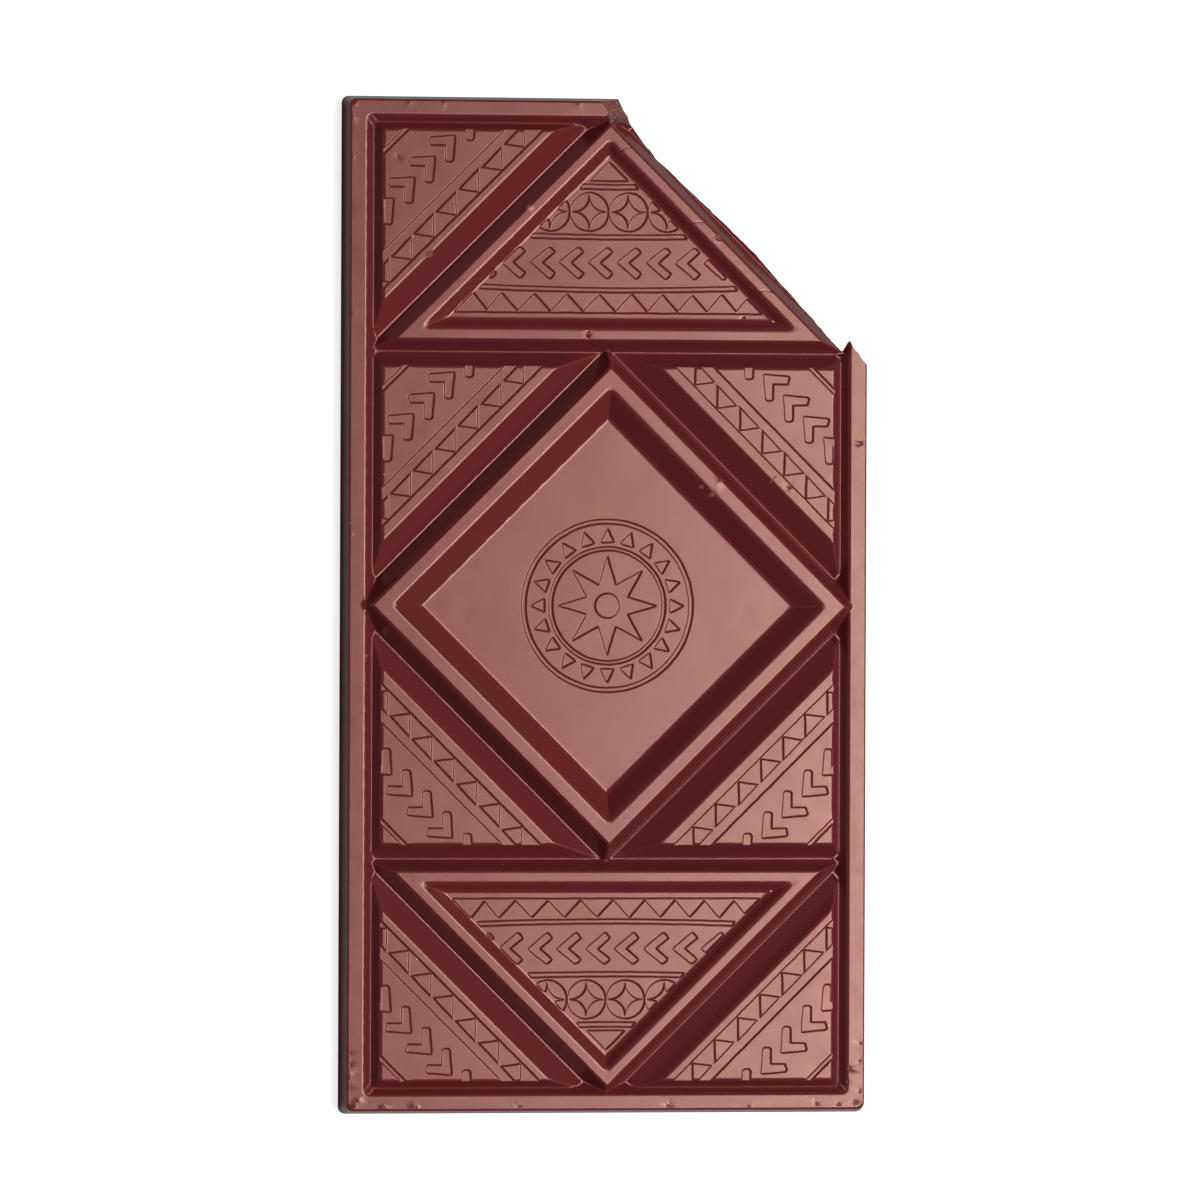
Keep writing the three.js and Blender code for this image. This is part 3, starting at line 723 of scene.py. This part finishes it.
# ---- the chocolate's finish ----
# Dark milk chocolate with a red cast. The moulded face has a satin gloss that drifts a little,
# the break is dull and grainy, and the poured back is matt with faint scraper streaks.
MOULDED_RED = (0.136, 0.0190, 0.0215)
MOULDED_BROWN = (0.129, 0.0210, 0.0225)
MOULDED_SHEEN = (1.0, 0.62, 0.50)
MOULDED_SPECULAR = 0.50
CRUMB_COLOUR = (0.26, 0.085, 0.065)
CRUMB_ROUGHNESS = 0.75
CRUMB_GRAIN = 0.00015         # depth of its grain in metres
SPECK_COLOUR = (0.52, 0.25, 0.19)
SPECK_SHARE = 0.045           # how many of the cells hold a speck
SPECK_REACH = 0.045           # its radius, where a cell is 1 wide
BROKEN_DARK = (0.10, 0.022, 0.017)
BROKEN_LIGHT = (0.23, 0.064, 0.045)
FLECK_COLOUR = (0.46, 0.19, 0.135)
POURED_RED = (0.165, 0.036, 0.028)
POURED_BROWN = (0.200, 0.052, 0.038)
CHOCOLATE_IOR = 1.47


def new_group(name, inputs, outputs):
    """A node group with sockets of the given names and kinds."""
    group = bpy.data.node_groups.new(name, "ShaderNodeTree")
    for label, kind, value in inputs:
        group.interface.new_socket(label, in_out="INPUT", socket_type=kind).default_value = value
    for label, kind in outputs:
        group.interface.new_socket(label, in_out="OUTPUT", socket_type=kind)
    return group


def add(tree, kind, place, inputs, **settings):
    """A node at a place in the tree, with its settings, and a value or a link for each input."""
    node = tree.nodes.new(kind)
    node.location = place
    for name, value in settings.items():
        setattr(node, name, value)
    for name, value in inputs.items():
        socket = node.inputs[name]
        if isinstance(value, bpy.types.NodeSocket):
            tree.links.new(value, socket)
        elif isinstance(value, tuple) and socket.type == "RGBA":
            socket.default_value = (*value, 1)
        else:
            socket.default_value = value
    return node


def reckoned(tree, place, operation, *values):
    """The outcome of a math node that takes the values in order."""
    node = add(tree, "ShaderNodeMath", place, dict(enumerate(values)), operation=operation)
    return node.outputs[0]


def mixed(tree, place, share, colour, other):
    """A colour, and as much of another one as the share says."""
    node = add(tree, "ShaderNodeMix", place, {0: share, 6: colour, 7: other}, data_type="RGBA")
    return node.outputs[2]


# How the colour and the gloss drift over a surface, in soft patches and finer smears.
drift = new_group("chocolate_drift", [
    ("Colour", "NodeSocketColor", (0.2, 0.04, 0.03, 1)),
    ("Other Colour", "NodeSocketColor", (0.2, 0.04, 0.03, 1)),
    ("Patch Scale", "NodeSocketFloat", 90.0),
    ("Low Roughness", "NodeSocketFloat", 0.3),
    ("High Roughness", "NodeSocketFloat", 0.4),
], [("Colour", "NodeSocketColor"), ("Roughness", "NodeSocketFloat")])
spot = add(drift, "ShaderNodeTexCoord", (-900, 0), {}).outputs["Object"]
given = add(drift, "NodeGroupInput", (-900, -300), {}).outputs
patch = add(drift, "ShaderNodeTexNoise", (-650, 150), {
    "Vector": spot, "Scale": given["Patch Scale"], "Detail": 4.0, "Roughness": 0.6,
}).outputs["Fac"]
smear = add(drift, "ShaderNodeTexNoise", (-650, -150), {
    "Vector": spot, "Scale": 420.0, "Detail": 3.0, "Roughness": 0.65,
}).outputs["Fac"]
share = add(drift, "ShaderNodeMapRange", (-400, 150), {
    "Value": patch, "From Min": 0.35, "From Max": 0.65,
}).outputs[0]
colour = mixed(drift, (-200, 150), share, given["Colour"], given["Other Colour"])
rough = add(drift, "ShaderNodeMapRange", (-200, -150), {
    "Value": smear, "From Min": 0.3, "From Max": 0.7,
    "To Min": given["Low Roughness"], "To Max": given["High Roughness"],
}).outputs[0]
add(drift, "NodeGroupOutput", (50, 0), {"Colour": colour, "Roughness": rough})

# The surface's grain, as a height in metres: a fine one, and a coarser one for broken chocolate.
grain = new_group("chocolate_grain", [
    ("Fine Depth", "NodeSocketFloat", 0.0),
    ("Coarse Depth", "NodeSocketFloat", 0.0),
], [("Height", "NodeSocketFloat")])
spot = add(grain, "ShaderNodeTexCoord", (-900, 0), {}).outputs["Object"]
given = add(grain, "NodeGroupInput", (-900, -300), {}).outputs
fine = add(grain, "ShaderNodeTexNoise", (-650, 150), {
    "Vector": spot, "Scale": 3000.0, "Detail": 2.0,
}).outputs["Fac"]
lumps = add(grain, "ShaderNodeTexNoise", (-650, -150), {
    "Vector": spot, "Scale": 2600.0, "Detail": 4.0, "Roughness": 0.7,
}).outputs["Fac"]
fine = reckoned(grain, (-400, 150), "MULTIPLY", fine, given["Fine Depth"])
both = reckoned(grain, (-200, 0), "MULTIPLY_ADD", lumps, given["Coarse Depth"], fine)
add(grain, "NodeGroupOutput", (50, 0), {"Height": both})


def group_node(tree, group, place, inputs):
    """The outputs of a group put into a tree, with a value or a link for each of its inputs."""
    node = tree.nodes.new("ShaderNodeGroup")
    node.node_tree = group
    node.location = place
    for name, value in inputs.items():
        if isinstance(value, bpy.types.NodeSocket):
            tree.links.new(value, node.inputs[name])
        else:
            node.inputs[name].default_value = (*value, 1) if isinstance(value, tuple) else value
    return node.outputs


def chocolate(name):
    """A new material with its nodes and its shader, whose own sockets hold what never varies."""
    material = bpy.data.materials.new(name)
    material.use_nodes = True
    tree = material.node_tree
    shader = tree.nodes["Principled BSDF"]
    shader.inputs["IOR"].default_value = CHOCOLATE_IOR
    skin.materials.append(material)
    return tree, shader


def give_finish(tree, shader, colour, roughness, height):
    """Leads a colour, a roughness and a grain's height into a material's shader."""
    bump = add(tree, "ShaderNodeBump", (-250, -300), {"Height": height, "Strength": 1.0, "Distance": 1.0})
    tree.links.new(colour, shader.inputs["Base Color"])
    tree.links.new(roughness, shader.inputs["Roughness"])
    tree.links.new(bump.outputs[0], shader.inputs["Normal"])


tree, shader = chocolate("moulded_chocolate")
finish = group_node(tree, drift, (-700, 100), {
    "Colour": MOULDED_RED, "Other Colour": MOULDED_BROWN, "Patch Scale": 85.0,
    "Low Roughness": 0.21, "High Roughness": 0.27,
})
crumb = add(tree, "ShaderNodeAttribute", (-1300, -200), {}, attribute_name="crumbly").outputs["Fac"]
spot = add(tree, "ShaderNodeTexCoord", (-1300, -400), {}).outputs["Object"]
ragged = add(tree, "ShaderNodeTexNoise", (-1100, -400), {
    "Vector": spot, "Scale": 3000.0, "Detail": 3.0,
}).outputs["Fac"]
ragged = reckoned(tree, (-1100, -200), "MULTIPLY", crumb, ragged)
crumb = add(tree, "ShaderNodeMapRange", (-900, -200), {
    "Value": ragged, "From Min": 0.2, "From Max": 0.36,
}).outputs[0]
colour = mixed(tree, (-400, 150), crumb, finish["Colour"], CRUMB_COLOUR)
cell = add(tree, "ShaderNodeTexVoronoi", (-1100, 400), {"Vector": spot, "Scale": 420.0}).outputs
seldom = add(tree, "ShaderNodeSeparateColor", (-900, 450), {"Color": cell["Color"]}).outputs[0]
seldom = reckoned(tree, (-700, 450), "GREATER_THAN", seldom, 1 - SPECK_SHARE)
speck = reckoned(tree, (-900, 250), "LESS_THAN", cell["Distance"], SPECK_REACH)
speck = reckoned(tree, (-550, 350), "MULTIPLY", speck, seldom)
colour = mixed(tree, (-200, 150), speck, colour, SPECK_COLOUR)
rough = add(tree, "ShaderNodeMix", (-400, -50), {
    0: crumb, 2: finish["Roughness"], 3: CRUMB_ROUGHNESS,
}).outputs[0]
coarse = reckoned(tree, (-700, -300), "MULTIPLY", crumb, CRUMB_GRAIN)
height = group_node(tree, grain, (-500, -300), {"Fine Depth": 0.000003, "Coarse Depth": coarse})["Height"]
shader.inputs["Specular IOR Level"].default_value = MOULDED_SPECULAR
shader.inputs["Specular Tint"].default_value = (*MOULDED_SHEEN, 1)
give_finish(tree, shader, colour, rough, height)

tree, shader = chocolate("broken_chocolate")
finish = group_node(tree, drift, (-700, 100), {
    "Colour": BROKEN_DARK, "Other Colour": BROKEN_LIGHT, "Patch Scale": 2300.0,
    "Low Roughness": 0.55, "High Roughness": 0.85,
})
spot = add(tree, "ShaderNodeTexCoord", (-1100, 300), {}).outputs["Object"]
fleck = add(tree, "ShaderNodeTexNoise", (-900, 350), {
    "Vector": spot, "Scale": 3600.0, "Detail": 2.0,
}).outputs["Fac"]
fleck = add(tree, "ShaderNodeMapRange", (-650, 350), {
    "Value": fleck, "From Min": 0.56, "From Max": 0.66,
}).outputs[0]
colour = mixed(tree, (-400, 250), fleck, finish["Colour"], FLECK_COLOUR)
height = group_node(tree, grain, (-500, -300), {"Fine Depth": 0.00004, "Coarse Depth": 0.0003})["Height"]
give_finish(tree, shader, colour, finish["Roughness"], height)

tree, shader = chocolate("poured_chocolate")
finish = group_node(tree, drift, (-700, 100), {
    "Colour": POURED_RED, "Other Colour": POURED_BROWN, "Patch Scale": 60.0,
    "Low Roughness": 0.50, "High Roughness": 0.68,
})
height = group_node(tree, grain, (-500, -300), {"Fine Depth": 0.00001, "Coarse Depth": 0.00006})["Height"]
give_finish(tree, shader, finish["Colour"], finish["Roughness"], height)

# ---- the table, the lights and the camera ----
# A plain white table. The near lamp shines in the flats, the key lamp further to the right
# shades the slopes, and a weak card at the left lights their other sides. The camera looks
# almost straight down, from a little to the left.
TABLE_HALF = 1.5              # metres, as all lengths in this section
TABLE_WHITE = (0.40, 0.40, 0.40)
TABLE_OTHER_WHITE = (0.43, 0.43, 0.43)
TABLE_GLOW = 0.80             # for the camera alone, which shows the table almost pure white
LAMP_REACH = 2.5
# Each lamp: degrees from upright, degrees round from the right, both sizes, and power.
LAMPS = [
    ("near_lamp", 16.2, -8, 0.94, 0.60, 42.0),
    ("key_lamp", 40.0, -3, 1.20, 0.80, 29.0),
    ("fill_card", 76.0, 180, 2.40, 1.20, 6.0),
]
ROOM_LIGHT = 0.002
CAMERA_REACH = 1.130
CAMERA_LEAN = 7.5             # degrees from upright, towards the left
CAMERA_AIM = (-0.00043, 0.00079, 0.0)
CAMERA_ROLL = 0.0039          # radians
VIEW_WIDTH = 0.1657           # how much of the table the camera sees from side to side

table_mesh = bpy.data.meshes.new("table")
table_corners = [(TABLE_HALF * x, TABLE_HALF * y, 0) for x, y in ((-1, -1), (1, -1), (1, 1), (-1, 1))]
table_mesh.from_pydata(table_corners, [], [(0, 1, 2, 3)])
table = bpy.data.objects.new("table", table_mesh)
bpy.context.scene.collection.objects.link(table)
table_paint = bpy.data.materials.new("table_white")
table_paint.use_nodes = True
paint = table_paint.node_tree
speckle = add(paint, "ShaderNodeTexNoise", (-500, 0), {"Scale": 40.0, "Detail": 2.0}).outputs["Fac"]
white = mixed(paint, (-250, 0), speckle, TABLE_WHITE, TABLE_OTHER_WHITE)
table_shader = paint.nodes["Principled BSDF"].inputs
paint.links.new(white, table_shader["Base Color"])
table_shader["Roughness"].default_value = 0.9
table_shader["Specular IOR Level"].default_value = 0.1
table_shader["Emission Color"].default_value = (1, 1, 1, 1)
seen = add(paint, "ShaderNodeLightPath", (-500, -300), {}).outputs["Is Camera Ray"]
glow = reckoned(paint, (-250, -300), "MULTIPLY", seen, TABLE_GLOW)
paint.links.new(glow, table_shader["Emission Strength"])
table_mesh.materials.append(table_paint)

for name, leaning, round_to, size, other_size, power in LAMPS:
    lamp_data = bpy.data.lights.new(name, "AREA")
    lamp_data.shape = "RECTANGLE"
    lamp_data.size = size
    lamp_data.size_y = other_size
    lamp_data.energy = power
    lamp = bpy.data.objects.new(name, lamp_data)
    leaning, round_to = math.radians(leaning), math.radians(round_to)
    level = math.sin(leaning)
    toward = Vector((level * math.cos(round_to), level * math.sin(round_to), math.cos(leaning)))
    lamp.location = LAMP_REACH * toward
    lamp.rotation_mode = "QUATERNION"
    lamp.rotation_quaternion = toward.to_track_quat("Z", "Y")
    bpy.context.scene.collection.objects.link(lamp)

room = bpy.data.worlds.new("room")
room.use_nodes = True
room.node_tree.nodes["Background"].inputs["Color"].default_value = (1, 1, 1, 1)
room.node_tree.nodes["Background"].inputs["Strength"].default_value = ROOM_LIGHT
bpy.context.scene.world = room
bpy.context.scene.view_settings.view_transform = "Standard"

camera_data = bpy.data.cameras.new("camera")
camera_data.lens = camera_data.sensor_width * CAMERA_REACH / VIEW_WIDTH
camera_data.clip_start = 0.1
camera = bpy.data.objects.new("camera", camera_data)
lean = math.radians(CAMERA_LEAN)
away = Vector((-math.sin(lean), 0, math.cos(lean)))
camera.location = Vector(CAMERA_AIM) + CAMERA_REACH * away
camera.rotation_mode = "QUATERNION"
leaning = Matrix.Rotation(-lean, 4, "Y") @ Matrix.Rotation(CAMERA_ROLL, 4, "Z")
camera.rotation_quaternion = leaning.to_quaternion()
bpy.context.scene.collection.objects.link(camera)
bpy.context.scene.camera = camera
